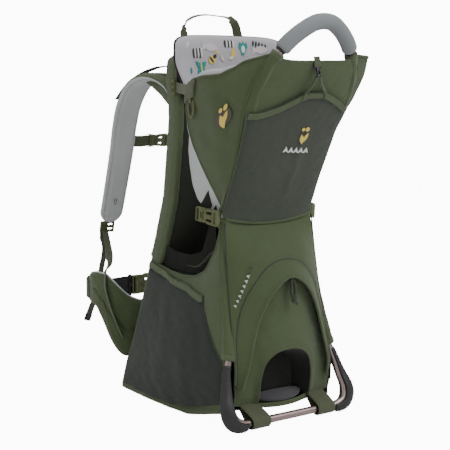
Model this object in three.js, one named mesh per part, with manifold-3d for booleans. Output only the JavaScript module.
// Framed child-carrier backpack. Millimetres, +Z up, +Y towards the wearer, -Y the outer rear face, X across.
// The carrier stands on its base panel and on a fold-out stand. Soft parts are simple closed solids.
import * as THREE from "three";
import { mergeVertices } from "three/addons/utils/BufferGeometryUtils.js";
import Module from "manifold-3d";
const wasm = await Module();
wasm.setup();

// ---- driving dimensions ----
const TUBE_R = 7; // aluminium frame tube
const FOAM_R = 13.5; // foam grip on the rear hoop
const PIVOT = { x: 89.5, y: -107, z: 370 }; // stand hinge
const SHIFT_Y = -32.31; // puts the origin under the middle of the bounding box
const WEB = 20; // narrow webbing
const BELT = 38; // hip webbing

const V = (x, y, z) => new THREE.Vector3(x, y, z);
const lerp = (a, b, t) => a + (b - a) * t;
function tab(t) {
  return (v) => {
    if (v <= t[0][0]) return t[0][1];
    for (let i = 1; i < t.length; i++)
      if (v <= t[i][0])
        return lerp(t[i - 1][1], t[i][1], (v - t[i - 1][0]) / (t[i][0] - t[i - 1][0]));
    return t[t.length - 1][1];
  };
}
const group = new THREE.Group();
const mats = {
  alu: [0x9a8f8c, 0.35, 1], black: [0x1b1c1b, 0.6, 0], olive: [0x3f4a2c, 0.9, 0], dark: [0x2c322e, 0.85, 0],
  grey: [0x9a9d9f, 0.9, 0], foam: [0x7f8385, 0.95, 0], boot: [0x3b3a3c, 0.7, 0], web: [0x454c32, 0.85, 0], clip: [0x4a5030, 0.5, 0],
  steel: [0xc9c9c9, 0.3, 1],
};
for (const k in mats)
  mats[k] = new THREE.MeshStandardMaterial({ color: mats[k][0], roughness: mats[k][1], metalness: mats[k][2] });

function fixVolume(pos) {
  let v = 0;
  for (let i = 0; i < pos.length; i += 9) {
    const [ax, ay, az, bx, by, bz, cx, cy, cz] = pos.slice(i, i + 9);
    v += ax * (by * cz - bz * cy) - ay * (bx * cz - bz * cx) + az * (bx * cy - by * cx);
  }
  if (v < 0)
    for (let i = 0; i < pos.length; i += 9)
      for (let k = 0; k < 3; k++) [pos[i + 3 + k], pos[i + 6 + k]] = [pos[i + 6 + k], pos[i + 3 + k]];
  return pos;
}
function geo(pos) {
  fixVolume(pos);
  return new THREE.BufferGeometry().setAttribute("position", new THREE.Float32BufferAttribute(pos, 3));
}
// rings of points joined in order; open ends are capped, closed joins the last ring to the first
function loft(rings, closed = false) {
  const pos = [], n = rings[0].length, m = rings.length;
  const tri = (a, b, c) => pos.push(a.x, a.y, a.z, b.x, b.y, b.z, c.x, c.y, c.z);
  for (let i = 0; i < (closed ? m : m - 1); i++)
    for (let j = 0; j < n; j++) {
      const a = rings[i][j], b = rings[i][(j + 1) % n], c = rings[(i + 1) % m][(j + 1) % n], d = rings[(i + 1) % m][j];
      tri(a, b, c);
      tri(a, c, d);
    }
  if (!closed)
    for (const [r, s] of [[rings[0], 1], [rings[m - 1], -1]]) {
      for (let j = 1; j < n - 1; j++) s > 0 ? tri(r[0], r[j + 1], r[j]) : tri(r[0], r[j], r[j + 1]);
    }
  return geo(pos);
}
// smooth curve through points, sampled
function curve(pts, n, closed = false) {
  const c = new THREE.CatmullRomCurve3(pts, closed, "centripetal");
  const out = c.getSpacedPoints(n);
  if (closed) out.pop();
  return out;
}
// tube with parallel-transported frames; rad may be a function of the share along the path
function tube(path, rad, sides = 8, closed = false) {
  const n = path.length, rings = [];
  let side = null;
  for (let i = 0; i < n; i++) {
    const a = path[closed ? (i + n - 1) % n : Math.max(i - 1, 0)], b = path[closed ? (i + 1) % n : Math.min(i + 1, n - 1)];
    const t = b.clone().sub(a).normalize();
    if (!side) side = Math.abs(t.x) < 0.9 ? V(1, 0, 0) : V(0, 1, 0);
    side = side.sub(t.clone().multiplyScalar(side.dot(t))).normalize();
    const up = t.clone().cross(side);
    const r = typeof rad === "function" ? rad(i / (n - 1)) : rad;
    const ring = [];
    for (let k = 0; k < sides; k++) {
      const q = ((k + 0.5) / sides) * 2 * Math.PI;
      ring.push(path[i].clone().addScaledVector(side, Math.cos(q) * r).addScaledVector(up, Math.sin(q) * r));
    }
    rings.push(ring);
  }
  return loft(rings, closed);
}
// strap: width w(t) along the given side vector, thickness h
function strap(path, sideAt, w, h, rounded = false) {
  const n = path.length, rings = [];
  for (let i = 0; i < n; i++) {
    const t = path[Math.min(i + 1, n - 1)].clone().sub(path[Math.max(i - 1, 0)]).normalize();
    const s = (typeof sideAt === "function" ? sideAt(i / (n - 1)) : sideAt).clone();
    s.sub(t.clone().multiplyScalar(s.dot(t))).normalize();
    const u = t.clone().cross(s);
    const W = (typeof w === "function" ? w(i / (n - 1)) : w) / 2, H = (typeof h === "function" ? h(i / (n - 1)) : h) / 2;
    const sec = rounded
      ? [[-W, -H * 0.3], [-W + H * 0.7, -H], [W - H * 0.7, -H], [W, -H * 0.3], [W, H * 0.3], [W - H * 0.7, H], [-W + H * 0.7, H], [-W, H * 0.3]]
      : [[-W, -H], [W, -H], [W, H], [-W, H]];
    rings.push(sec.map(([a, b]) => path[i].clone().addScaledVector(s, a).addScaledVector(u, b)));
  }
  return loft(rings);
}
// panel of even thickness over a grid of points; it grows from the grid to one side (along the grid's normal)
function slab(grid, t, hint) {
  const m = grid.length, n = grid[0].length, back = [];
  let flip = 0; // the slab grows towards the hint
  for (let i = 0; i < m - 1; i++)
    for (let j = 0; j < n - 1; j++)
      flip += grid[i + 1][j].clone().sub(grid[i][j]).cross(grid[i][j + 1].clone().sub(grid[i][j])).dot(hint);
  flip = flip < 0 ? -1 : 1;
  for (let i = 0; i < m; i++) {
    back.push([]);
    for (let j = 0; j < n; j++) {
      const du = grid[Math.min(i + 1, m - 1)][j].clone().sub(grid[Math.max(i - 1, 0)][j]);
      const dv = grid[i][Math.min(j + 1, n - 1)].clone().sub(grid[i][Math.max(j - 1, 0)]);
      const nn = du.cross(dv).normalize();
      const k = typeof t === "function" ? t(i / (m - 1), j / (n - 1)) : t;
      back[i].push(grid[i][j].clone().addScaledVector(nn, k * flip));
    }
  }
  const pos = [], tri = (a, b, c) => pos.push(a.x, a.y, a.z, b.x, b.y, b.z, c.x, c.y, c.z);
  const quad = (a, b, c, d) => { tri(a, b, c); tri(a, c, d); };
  for (let i = 0; i < m - 1; i++)
    for (let j = 0; j < n - 1; j++) {
      quad(grid[i][j], grid[i + 1][j], grid[i + 1][j + 1], grid[i][j + 1]);
      quad(back[i][j], back[i][j + 1], back[i + 1][j + 1], back[i + 1][j]);
    }
  for (let i = 0; i < m - 1; i++) {
    quad(grid[i + 1][0], grid[i][0], back[i][0], back[i + 1][0]);
    quad(grid[i][n - 1], grid[i + 1][n - 1], back[i + 1][n - 1], back[i][n - 1]);
  }
  for (let j = 0; j < n - 1; j++) {
    quad(grid[0][j], grid[0][j + 1], back[0][j + 1], back[0][j]);
    quad(grid[m - 1][j + 1], grid[m - 1][j], back[m - 1][j], back[m - 1][j + 1]);
  }
  return geo(pos);
}
const grid = (m, n, f) => Array.from({ length: m + 1 }, (_, i) => Array.from({ length: n + 1 }, (_, j) => f(i / m, j / n)));
function solid(g) {
  const q = mergeVertices(new THREE.BufferGeometry().setAttribute("position", (g.index ? g.toNonIndexed() : g).getAttribute("position")), 1e-4);
  return new wasm.Manifold(new wasm.Mesh({ numProp: 3, vertProperties: q.attributes.position.array, triVerts: new Uint32Array(q.index.array) }));
}
function fromSolid(s) {
  const m = s.getMesh();
  const g = new THREE.BufferGeometry().setAttribute("position", new THREE.BufferAttribute(new Float32Array(m.vertProperties), 3));
  g.setIndex(new THREE.BufferAttribute(new Uint32Array(m.triVerts), 1));
  return g;
}
const at = (g, x, y, z, rx = 0, ry = 0, rz = 0) =>
  g.applyMatrix4(new THREE.Matrix4().compose(V(x, y, z), new THREE.Quaternion().setFromEuler(new THREE.Euler(rx, ry, rz)), V(1, 1, 1)));
const box = (w, d, h) => new THREE.BoxGeometry(w, d, h);
const cylX = (r, len, n = 16) => new THREE.CylinderGeometry(r, r, len, n).rotateZ(Math.PI / 2);
const join = (...gs) => fromSolid(gs.map(solid).reduce((a, b) => a.add(b)));
const cut = (g, ...gs) => fromSolid(gs.map(solid).reduce((a, b) => a.subtract(b), solid(g)));
function add(name, g, mat) {
  const m = new THREE.Mesh(g, mats[mat]);
  m.name = name;
  group.add(m);
}
// the same piece mirrored to the other side; left is -X
function mirrored(g) {
  const p = g.index ? g.toNonIndexed() : g.clone();
  const a = Array.from(p.getAttribute("position").array);
  for (let i = 0; i < a.length; i += 3) a[i] = -a[i];
  return geo(a);
}
function pair(name, g, mat) { // g is made on the +X side
  add(name + "_right", g, mat);
  add(name + "_left", mirrored(g), mat);
}

// ---- profiles shared by the parts ----
const backY = tab([[0, 190], [60, 172], [100, 160], [254, 119], [290, 107], [390, 76], [519, 57], [645, 40], [690, 35]]); // wearer-side face
const backW = tab([[0, 128], [100, 116], [254, 106], [290, 101], [390, 97], [519, 97], [600, 96], [645, 90], [690, 84]]); // its half width
const hoopPts = [[89.8, -109, 384], [88, -135.6, 440], [88.8, -155, 480], [91, -173.8, 520], [97, -194, 560], [98.6, -205, 580], [97.6, -215, 600], [93.5, -227, 620], [85.5, -236, 640], [76, -244, 656], [61, -252, 674], [39, -260, 692], [14, -265.5, 704.5]];
const legPts = [[89.2, -106.6, 356], [91, -109.5, 330], [94, -114, 300], [99.3, -123.8, 240], [104.3, -136, 180], [110.6, -150, 130], [118, -155, 107], [125, -169, 68], [127, -180, 45], [121, -186, 28], [105, -187, 19]];
const at3 = (pts, i) => { const f = tab(pts.slice().sort((a, b) => a[2] - b[2]).map((p) => [p[2], p[i]])); return f; };
const hoopX = at3(hoopPts, 0), hoopY = at3(hoopPts, 1), legX = at3(legPts, 0), legY = at3(legPts, 1);

// ---- frame ----
const full = (pts) => [...pts.map((p) => V(-p[0], p[1], p[2])), ...pts.slice().reverse().map((p) => V(...p))];
add("rear_hoop", tube(curve(full(hoopPts), 44), TUBE_R, 8), "alu");
const foamPts = hoopPts.filter((p) => p[2] >= 656).map((p) => p.slice());
foamPts[0] = [73.5, -245.6, 659.5];
{ // foam sleeve with the tube's way through it
  const line = curve(full(foamPts), 22);
  const a = line[0], b = line[line.length - 1], ta = line[1].clone().sub(a).normalize(), tb = b.clone().sub(line[line.length - 2]).normalize();
  const inner = [a.clone().addScaledVector(ta, -4), ...line, b.clone().addScaledVector(tb, 4)];
  add("foam_grip", cut(tube(line, FOAM_R, 10), tube(inner, TUBE_R + 1.2, 8)), "foam");
}
const frameY = tab([[30, 165], [150, 130], [254, 96], [330, 73], [390, 57], [519, 46], [590, 44], [632, 45], [660, 47]]);
const frameX = (z) => backW(z) - lerp(12, 20, Math.min(1, Math.max(0, (z - 390) / 120)));
const bz = [30, 150, 254, 330, 390, 519, 590];
const frameSide = [...bz.map((z) => V(frameX(z), frameY(z), z)), V(66, 45, 634), V(38, 46.5, 653)];
const backFrame = [...frameSide.map((p) => V(-p.x, p.y, p.z)), V(0, 47, 659), ...frameSide.slice().reverse()];
add("back_frame", join(tube(curve(backFrame, 46), TUBE_R, 8), tube([V(-90, 85.5, 288), V(0, 85.5, 288), V(90, 85.5, 288)], 6, 8)), "alu");
pair("side_rail", tube(curve([V(89, 78, 284), V(92, 40, 268), V(90, -10, 262), V(82, -56, 292), V(81, -70, 345), V(82, -76, 374), V(84, -85, 389), V(86, -96.2, 390)], 18), 6, 8), "alu");
// hinge: a cheek on the hoop, a fork leaf on the stand, one pin through both
const px = PIVOT.x, py = PIVOT.y, pz = PIVOT.z;
const cheek = join(at(cylX(8.4, 5), px - 6.6, py, pz), at(box(5, 17, 22), px - 6.6, py - 1, pz + 11), at(box(20, 22, 14), px + 1, py - 3, pz + 19));
pair("hinge_cheek", cut(cheek, at(cylX(4.4, 30), px - 6, py, pz), tube([V(hoopX(384), hoopY(384) + 0.3, 384), V(hoopX(420) , hoopY(420), 420)], TUBE_R + 0.6, 12), at(new THREE.CylinderGeometry(7.8, 7.8, 14, 12), hoopX(384), hoopY(384), 388, Math.PI / 2)), "boot");
const fork = join(at(box(5, 16, 24), px + 0.4, py, pz - 4), at(box(18, 20, 8), px + 0.4, py + 1, pz - 13));
pair("hinge_fork", cut(fork, at(cylX(4.4, 30), px, py, pz)), "boot");
pair("pivot_pin", join(at(cylX(4, 17.4), px - 0.6, py, pz), at(cylX(7, 2.4), px + 9, py, pz)), "steel");
// stand: legs and foot bar are one bent tube
const standPath = curve([...legPts.map((p) => V(-p[0], p[1], p[2])), V(-60, -187, 17.5), V(60, -187, 17.5), ...legPts.slice().reverse().map((p) => V(...p))].map((p) => (p.z > 350 ? V(p.x, p.y, 352) : p)), 60);
add("stand_frame", tube(standPath, TUBE_R, 8), "alu");
// boot: moulded shoe round the outside of each bend
{
  const c = curve([V(118.5, -155.5, 105), V(125, -169, 68), V(127.4, -180, 42), V(121.5, -186.5, 22), V(110, -187, 17.5), V(98.5, -187, 17.3)], 14);
  const r = tab([[0, 9.6], [0.25, 12], [0.5, 16], [0.7, 19.5], [0.86, 18.5], [1, 14]]);
  const rings = [];
  c.forEach((p, i) => {
    const t = c[Math.min(i + 1, c.length - 1)].clone().sub(c[Math.max(i - 1, 0)]).normalize();
    const s = V(0, 1, 0).sub(t.clone().multiplyScalar(t.y)).normalize(), u = t.clone().cross(s);
    const R = r(i / (c.length - 1)), ring = [];
    for (let k = 0; k < 10; k++) {
      const q = (k / 10) * 2 * Math.PI, ca = Math.cos(q), sa = Math.sin(q);
      const p2 = p.clone().addScaledVector(s, ca * R * 0.82).addScaledVector(u, sa * R);
      p2.z = Math.max(p2.z, 0);
      ring.push(p2);
    }
    rings.push(ring);
  });
  const body = solid(loft(rings)).subtract(solid(tube(standPath, TUBE_R + 0.6, 8))).subtract(solid(at(cylX(2.6, 60, 12), 130, -155.5, 96)));
  const parts = body.decompose().sort((a, b) => b.volume() - a.volume());
  pair("stand_boot", fromSolid(parts[0]), "boot");
}
pair("boot_rivet", join(at(cylX(2.2, 5, 12), 131.4, -155.5, 96), at(cylX(4.2, 1.6, 12), 134, -155.5, 96)), "steel");

// ---- wearer side ----
add("back_pad", slab(grid(7, 12, (u, v) => { const z = lerp(62, 640, v), q = [-1, -0.9, -0.6, -0.2, 0.2, 0.6, 0.9, 1][Math.round(u * 7)]; return V(q * backW(z), frameY(z) + 12 - lerp(2, 20, Math.min(1, Math.max(0, (z - 330) / 200))) * Math.pow(Math.abs(q), 14), z); }), 10, V(0, 1, 0)), "olive");
add("head_shield", slab(grid(12, 4, (u, v) => { const q = lerp(-1, 1, u), z = lerp(582, 690 - 14 * Math.pow(Math.abs(q), 6), v); return V(q * lerp(101, 121, Math.min(1, v / 0.75)), 35.5 - 36 * Math.pow(Math.abs(q), 2.6), z); }), 9, V(0, -1, 0)), "grey");
const haul = curve([V(-62, 66, 645), V(-66, 66, 680), V(-64, 66, 708), V(-44, 66, 726), V(-18, 66, 730), V(14, 66, 728), V(38, 66, 722), V(53, 66, 700), V(57, 66, 672), V(57, 66, 645)], 26);
add("haul_loop", strap(haul, V(0, 1, 0), 22, 2.4), "web");

// ---- cockpit ----
const rimZ = tab([[-245, 646], [-205, 647], [-173, 631], [-135, 620], [-92, 615], [-66, 608], [-55, 597]]);
// outer surface of the right cockpit side: u from the front edge to the hoop, v from the bottom to the rim
const frontEdge = [[94, -112, 388], [99, -98, 430], [104, -84, 480], [110, -68, 530], [112, -60, 575], [110, -62, 600]];
const fX = at3(frontEdge, 0), fY = at3(frontEdge, 1);
const sidePt = (u, v) => {
  const zf = lerp(402, 606, v), zr = lerp(402, 640, v);
  const X = lerp(fX(zf), hoopX(zr) + 11, u), Y = lerp(fY(zf), hoopY(zr) + 4, u);
  const z = lerp(zf, zr, u) - 10 * u * (1 - u) * v;
  return V(X + 34 * v * v * Math.sin(Math.PI * Math.min(1, u * 1.0)) , Y, z);
};
pair("seat_side", slab(grid(6, 7, sidePt), 3, V(1, 0, 0)), "olive");
add("rear_panel_upper", slab(grid(8, 8, (u, v) => { const z = lerp(402, 644, v), q = lerp(-1, 1, u); return V(q * (hoopX(z) - 9), hoopY(z) + 3 - 8 * (1 - q * q), z); }), 3, V(0, -1, 0)), "olive");
const pocketTop = tab([[-1, 556], [-0.75, 556], [-0.2, 586], [0.2, 586], [1, 554]]);
add("mesh_pocket", slab(grid(8, 6, (u, v) => { const q = lerp(-1, 1, u), z = lerp(404, pocketTop(q), v); return V(q * (hoopX(z) - 11), hoopY(z) - 1.2 - 11 * (1 - q * q) - 4 * Math.sin(Math.PI * v) * (1 - q * q), z); }), 2.5, V(0, -1, 0)), "dark");
add("pocket_hook", at(join(at(box(14, 5, 12), 0, 0, 6), at(box(9, 5, 16), 0, 0, -6)), 0, -247, 632, 0.3), "black");
add("pocket_elastic", tube(curve([V(-12, -239.6, 599), V(-8, -241.5, 608), V(-2, -243, 616), V(2, -243, 616), V(8, -241.5, 608), V(12, -239.6, 599)], 12), 1.4, 6), "web");
// adjustable seat: saddle and back with the child's harness on it
{
  const prof = [V(0, 40, 392), V(0, 8, 372), V(0, -30, 362), V(0, -68, 372), V(0, -95, 405), V(0, -122, 460), V(0, -150, 520), V(0, -172, 565)];
  const line = curve(prof, 14);
  add("seat_saddle", strap(line, V(1, 0, 0), (t) => lerp(70, 140, Math.min(1, Math.max(0, (t - 0.22) * 2.2))), 12, true), "grey");
  const h = (s) => curve([V(s * 22, -108, 472), V(s * 30, -129, 520), V(s * 36, -147, 560)], 6);
  const hz = join(strap(h(1), V(1, 0, 0), 24, 5), strap(h(-1), V(1, 0, 0), 24, 5), at(box(46, 9, 26), 0, -104, 468, -0.42));
  add("child_harness", hz, "black");
}
// ---- lower body ----
const wallX = tab([[0, 132], [60, 127], [100, 123], [254, 111], [290, 105]]);
const rearEdge = [[103, -132, 40], [106, -138, 80], [115, -141, 130], [117, -134, 180], [112, -122, 240], [107, -112, 300], [104.5, -107, 344]];
const rX = at3(rearEdge, 0), rY = at3(rearEdge, 1);
const zTop = tab([[0, 288], [0.25, 277], [0.5, 275], [0.7, 290], [0.85, 316], [1, 344]]), zBot = tab([[0, 2], [0.45, 2], [0.65, 6], [0.85, 22], [1, 42]]);
const wallPt = (u, v) => {
  const z = lerp(zBot(u), zTop(u), v);
  const X = lerp(wallX(z), rX(z), u) + lerp(4, 14, v) * 4 * u * (1 - u) * (1 - 0.5 * v * v), Y = lerp(backY(z) - 24, rY(z), u);
  return V(X, Y, z);
};
pair("side_wall", slab(grid(8, 8, wallPt), 3, V(1, 0, 0)), "dark");
add("base_panel", slab(grid(6, 8, (u, v) => { const q = lerp(-1, 1, u), y = lerp(166, -136, v), s = (166 - y) / 302; return V(q * (lerp(123, 96, s)), y, 42 * Math.pow(Math.max(0, (s - 0.5) / 0.5), 1.6)); }), 4, V(0, 0, 1)), "olive");
// base bumper: the hard edge that the carrier stands on, on the wearer side
add("base_bumper", at(box(226, 12, 58), 0, 182, 29.55, 0.28), "boot");
const cenY = tab([[44, -168], [60, -174], [134, -183], [250, -178], [296, -168], [330, -140], [352, -112]]);
const lowPt = (u, v) => {
  const z = lerp(44, 352, v), q = lerp(-1, 1, u);
  const hw = z > 130 ? legX(z) - 9.5 : lerp(94, legX(130) - 9.5, (z - 44) / 86);
  const ly = z > 130 ? legY(z) : lerp(-140, legY(130), (z - 44) / 86);
  return V(q * hw, lerp(ly, cenY(z), Math.pow(1 - Math.pow(Math.abs(q), 3), 0.9)), z);
};
add("rear_panel_lower", slab(grid(10, 9, lowPt), 3, V(0, -1, 0)), "olive");
add("zip_pull", strap(curve([V(0, -188.6, 258), V(0, -190.5, 246), V(0, -191.5, 230)], 3), V(1, 0, 0), 8, 3), "web");
// webbing loops that tie the body to the foot bar
{
  const loop = curve([V(75, -160, 38), V(75, -176, 33.5), V(75, -190, 28.5), V(75, -198.3, 18), V(75, -192, 7.2), V(75, -180, 8.4), V(75, -171, 18), V(75, -160, 30)], 16);
  pair("stand_loop", strap(loop, V(1, 0, 0), 38, 2.2), "web");
}
// ---- hip belt ----
const beltPlan = curve([[-118, 318], [-136, 301], [-152, 280], [-163, 237], [-158, 214], [-146, 195], [-125, 186], [-100, 182.5], [-50, 179.2], [0, 178.6], [50, 179.2], [100, 182.5], [125, 186], [146, 195], [158, 214], [163, 237], [152, 280], [136, 301], [118, 318]].map(([x, y]) => V(x, y, 0)), 44);
const beltTop = tab([[0, 206], [60, 222], [100, 230], [126, 228], [140, 217], [161, 194], [192, 176], [230, 170], [300, 166]]);
const beltBottom = tab([[0, 159], [60, 163], [90, 165], [104, 156], [137, 95], [160, 68], [175, 66], [200, 71], [240, 80], [300, 84]]);
{
  const last = beltPlan.length - 1, step = beltPlan[1].distanceTo(beltPlan[0]);
  add("hip_belt", loft(beltPlan.map((p, i) => {
    const d = Math.min(i, last - i) * step, t = beltPlan[Math.min(i + 1, last)].clone().sub(beltPlan[Math.max(i - 1, 0)]).normalize(), u = t.cross(V(0, 0, 1)).normalize();
    const W = (beltTop(d) - beltBottom(d)) / 2, zc = (beltTop(d) + beltBottom(d)) / 2, H = d < 40 ? 4 : 6.5;
    return [[-W, -H * 0.3], [-W + H * 0.7, -H], [W - H * 0.7, -H], [W, -H * 0.3], [W, H * 0.3], [W - H * 0.7, H], [-W + H * 0.7, H], [-W, H * 0.3]].map(([w, h]) => V(p.x, p.y, zc + w).addScaledVector(u, h));
  })), "olive");
}
const hw = curve([V(114.5, 321.5, 175), V(84, 334, 172), V(50, 338, 172), V(34, 338, 172)], 8);
pair("hip_webbing", strap(hw, V(0, 0, 1), BELT, 2.4), "black");
// side-release buckles: the plug slides out of the socket
function socket(w, len, h, d) { // along +X from x=0, mouth at x=0
  return cut(at(box(len, h, w), len / 2, 0, 0), at(box(len - 6, h - 5, w - 6), (len - 6) / 2 - 0.01, 0, 0), at(box(len * 0.36, h + 2, w * 0.3), len * 0.42, 0, 0));
}
function plug(w, len, h) { // body outside the mouth at x<0, tongue and two prongs inside
  return join(at(box(10, h, w), -5.3, 0, 0), at(box(len - 10, h - 6.4, w * 0.2), (len - 10) / 2 - 0.8, 0, 0), at(box(len - 9, h - 6.4, 3), (len - 9) / 2 - 0.8, 0, w / 2 - 5.4), at(box(len - 9, h - 6.4, 3), (len - 9) / 2 - 0.8, 0, -w / 2 + 5.4));
}
add("hip_buckle_socket", at(socket(48, 34, 12), -2, 338, 172), "black");
add("hip_buckle_plug", at(plug(48, 34, 12), -2, 338, 172), "black");
// ---- shoulder harness ----
const shPts = [[72, 70, 588], [75, 88, 602], [78, 116, 612], [82, 156, 614], [85, 200, 598], [88, 232, 560], [89, 250, 515], [89, 263, 468], [90, 279, 415], [91, 297, 360], [92, 311, 319]];
const shLine = curve(shPts.map((p) => V(...p)), 20);
pair("shoulder_strap", strap(shLine, V(1, 0, 0), (t) => lerp(62, 50, t), 14, true), "olive");
pair("load_lifter", strap(curve([V(76, 68, 628), V(77, 100, 639), V(80, 140, 634), V(84, 188, 618), V(86, 214, 606)], 8), V(1, 0, 0), WEB, 2.2), "web");
pair("ladder_lock", cut(at(box(32, 8, 26), 93, 320.5, 301, -0.3), at(box(21, 12, 5), 93, 320.5, 307, -0.3), at(box(21, 12, 5), 93, 320.5, 296, -0.3)), "clip");
pair("adjuster_webbing", strap(curve([V(96, 321, 284.5), V(104, 302, 266), V(122, 268, 254), V(144, 236, 247), V(158, 209, 240), V(163.5, 201, 222), V(163.5, 193.5, 195), V(160, 185, 168), V(154, 178, 138), V(148, 174, 108)], 22), (t) => { const k = Math.min(1, t / 0.55); return V(lerp(1, 0.42, k), lerp(0, 0.9, k), 0); }, (t) => lerp(WEB, 18, Math.min(1, t / 0.5)), 2.2), "web");
// sternum strap
pair("sternum_webbing", strap(curve([V(94, 267.8, 487), V(70, 267.8, 487), V(44, 267.8, 487), V(24, 267.8, 487)], 5), V(0, -0.267, 0.964), WEB, 2.2), "web");
add("sternum_buckle_socket", at(socket(27, 24, 9), -1, 267.8, 487), "clip");
add("sternum_buckle_plug", at(plug(27, 24, 9), -1, 267.8, 487), "clip");
// cockpit side straps, rings and waist buckles
pair("side_strap", strap(curve([V(101.5, 36, 596), V(107, 10, 594), V(115, -28, 590), V(123, -48, 588), V(128.5, -60, 586)], 8), V(0, 0.1, 1), WEB, 2.2), "web");
{
  const ring = curve([V(131, -66, 573), V(131, -58, 571), V(131, -57, 557), V(131, -65, 547), V(131, -73, 557), V(131, -74, 571)], 14, true);
  pair("side_ring", tube(ring, 2.2, 6, true), "clip");
}
{
  const m = new THREE.Matrix4().makeRotationZ(Math.PI / 2 + 0.1).setPosition(106.5, -78, 372); // local +X runs towards +Y
  const f = new THREE.Matrix4().makeRotationZ(Math.PI + Math.PI / 2 + 0.1).setPosition(106.5, -78, 372);
  pair("waist_buckle_socket", socket(26, 24, 9).applyMatrix4(f), "clip");
  pair("waist_buckle_plug", plug(26, 24, 9).applyMatrix4(f), "clip");
}
group.position.set(0, SHIFT_Y, 0);
export default group;
